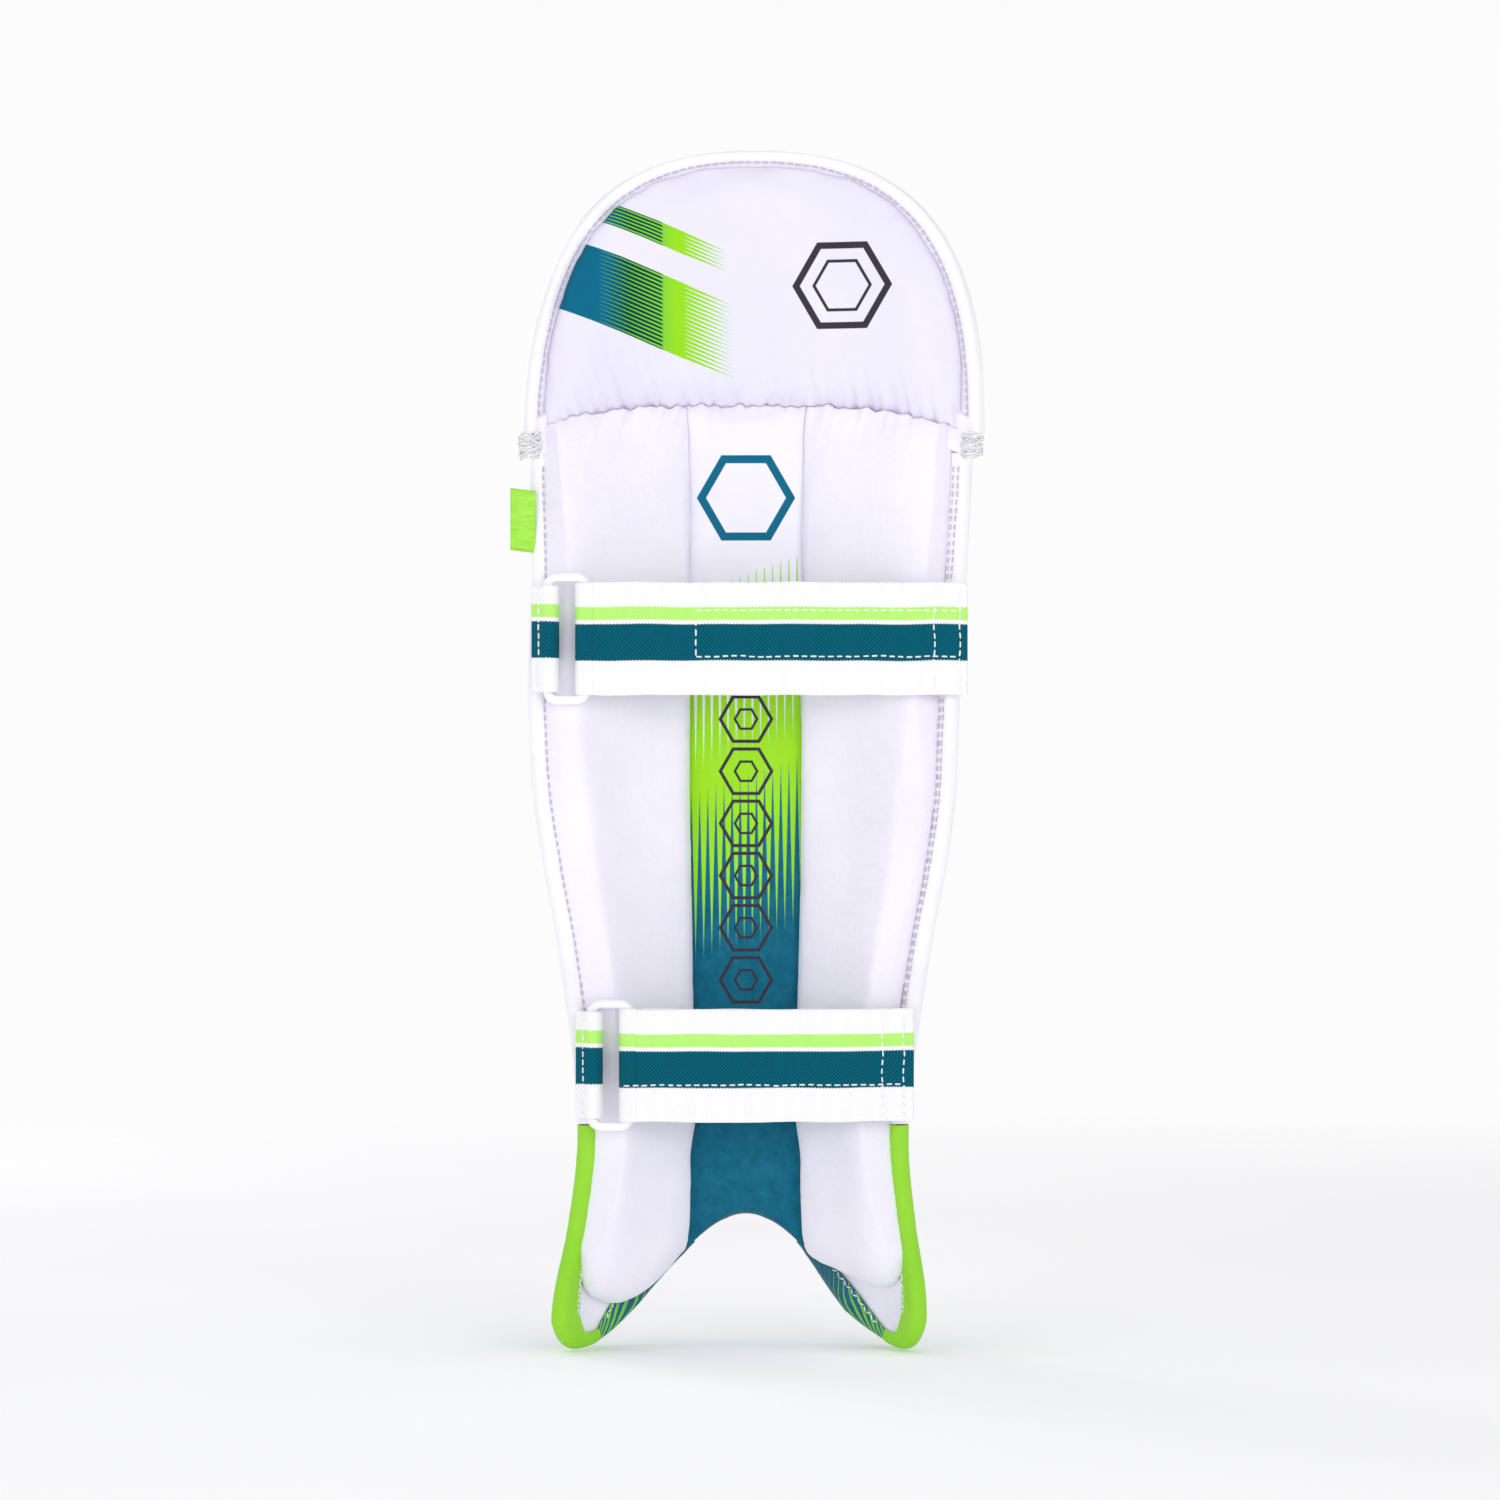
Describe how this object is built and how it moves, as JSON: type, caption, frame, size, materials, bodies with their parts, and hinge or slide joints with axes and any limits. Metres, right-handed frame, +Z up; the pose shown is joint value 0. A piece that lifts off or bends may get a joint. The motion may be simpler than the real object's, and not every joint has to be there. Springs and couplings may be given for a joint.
{
  "type": "cricket leg pad",
  "caption": "Padded leg guard for wicket-keeping: a curved shin channel with upright bolsters, a domed knee flap that folds, flared instep wings, and webbing straps through plastic rings.",
  "frame": {"origin": "the flat back of the centre bolster, on its centreline, midway between the two straps; the wearer's shin lies there", "axes": "+Z up the shin as worn, -Y towards the leg, +Y the struck face, +X to the right seen from the leg side"},
  "size_m": [0.2479, 0.099, 0.6199],
  "materials": {
    "cover_pu": "satin",
    "lining_cloth": "matte",
    "cushion_cloth": "matte",
    "centre_print_cloth": "matte",
    "foam": "matte",
    "cane": "satin",
    "white_binding": "satin",
    "lime_binding": "satin",
    "instep_print": "satin",
    "webbing": "matte",
    "hook_and_loop": "matte",
    "ring_plastic": "gloss",
    "thread": "matte",
    "lime_ribbon": "gloss",
    "label_satin": "gloss"
  },
  "bodies": {
    "shin": {"face_cover": "cover_pu", "rear_lining": "lining_cloth", "foam_board": "foam", "wing_foam_left": "foam", "wing_foam_right": "foam", "bolster_left": "cushion_cloth", "bolster_right": "cushion_cloth", "bolster_centre": "centre_print_cloth", "side_binding_left": "white_binding", "side_binding_right": "white_binding", "wing_binding_left": "lime_binding", "wing_binding_right": "lime_binding", "instep_facing_left": "instep_print", "instep_facing_right": "instep_print", "arch_hem": "instep_print", "corner_bartack_left": "thread", "corner_bartack_right": "thread", "fold_seam_tape": "webbing", "side_tab": "lime_ribbon", "care_label": "label_satin", "cane_rod_1": "cane", "cane_rod_2": "cane", "cane_rod_3": "cane", "cane_rod_4": "cane", "cane_rod_5": "cane", "cane_rod_6": "cane", "cane_rod_7": "cane", "calf_strap_base": "webbing", "calf_anchor_tab": "webbing", "calf_loop_patch": "hook_and_loop", "ankle_strap_base": "webbing", "ankle_anchor_tab": "webbing", "ankle_loop_patch": "hook_and_loop"},
    "knee_flap": {"flap_cover": "cover_pu", "flap_foam": "foam", "flap_lining": "lining_cloth", "flap_cushion": "cushion_cloth", "flap_binding": "white_binding"},
    "calf_loop": {"calf_ring": "ring_plastic", "calf_strap_turn": "webbing"},
    "calf_tail": {"calf_strap_tail": "webbing", "calf_hook_patch": "hook_and_loop"},
    "ankle_loop": {"ankle_ring": "ring_plastic", "ankle_strap_turn": "webbing"},
    "ankle_tail": {"ankle_strap_tail": "webbing", "ankle_hook_patch": "hook_and_loop"}
  },
  "joints": [
    {"name": "knee_flap_fold", "type": "hinge", "parent": "shin", "child": "knee_flap", "pos_m": [0, 0.007, 0.222], "axis": [1, 0, 0], "range_deg": [-12, 25]},
    {"name": "calf_ring_swing", "type": "hinge", "parent": "shin", "child": "calf_loop", "pos_m": [-0.1006, -0.05153, 0.108], "axis": [0, 0, -1], "range_deg": [0, 12]},
    {"name": "calf_tail_peel", "type": "hinge", "parent": "calf_loop", "child": "calf_tail", "pos_m": [-0.077, -0.0616, 0.108], "axis": [0, 0, -1], "range_deg": [0, 150]},
    {"name": "ankle_ring_swing", "type": "hinge", "parent": "shin", "child": "ankle_loop", "pos_m": [-0.0784, -0.05024, -0.1087], "axis": [0, 0, -1], "range_deg": [0, 12]},
    {"name": "ankle_tail_peel", "type": "hinge", "parent": "ankle_loop", "child": "ankle_tail", "pos_m": [-0.0548, -0.0607, -0.1087], "axis": [0, 0, -1], "range_deg": [0, 150]}
  ]
}
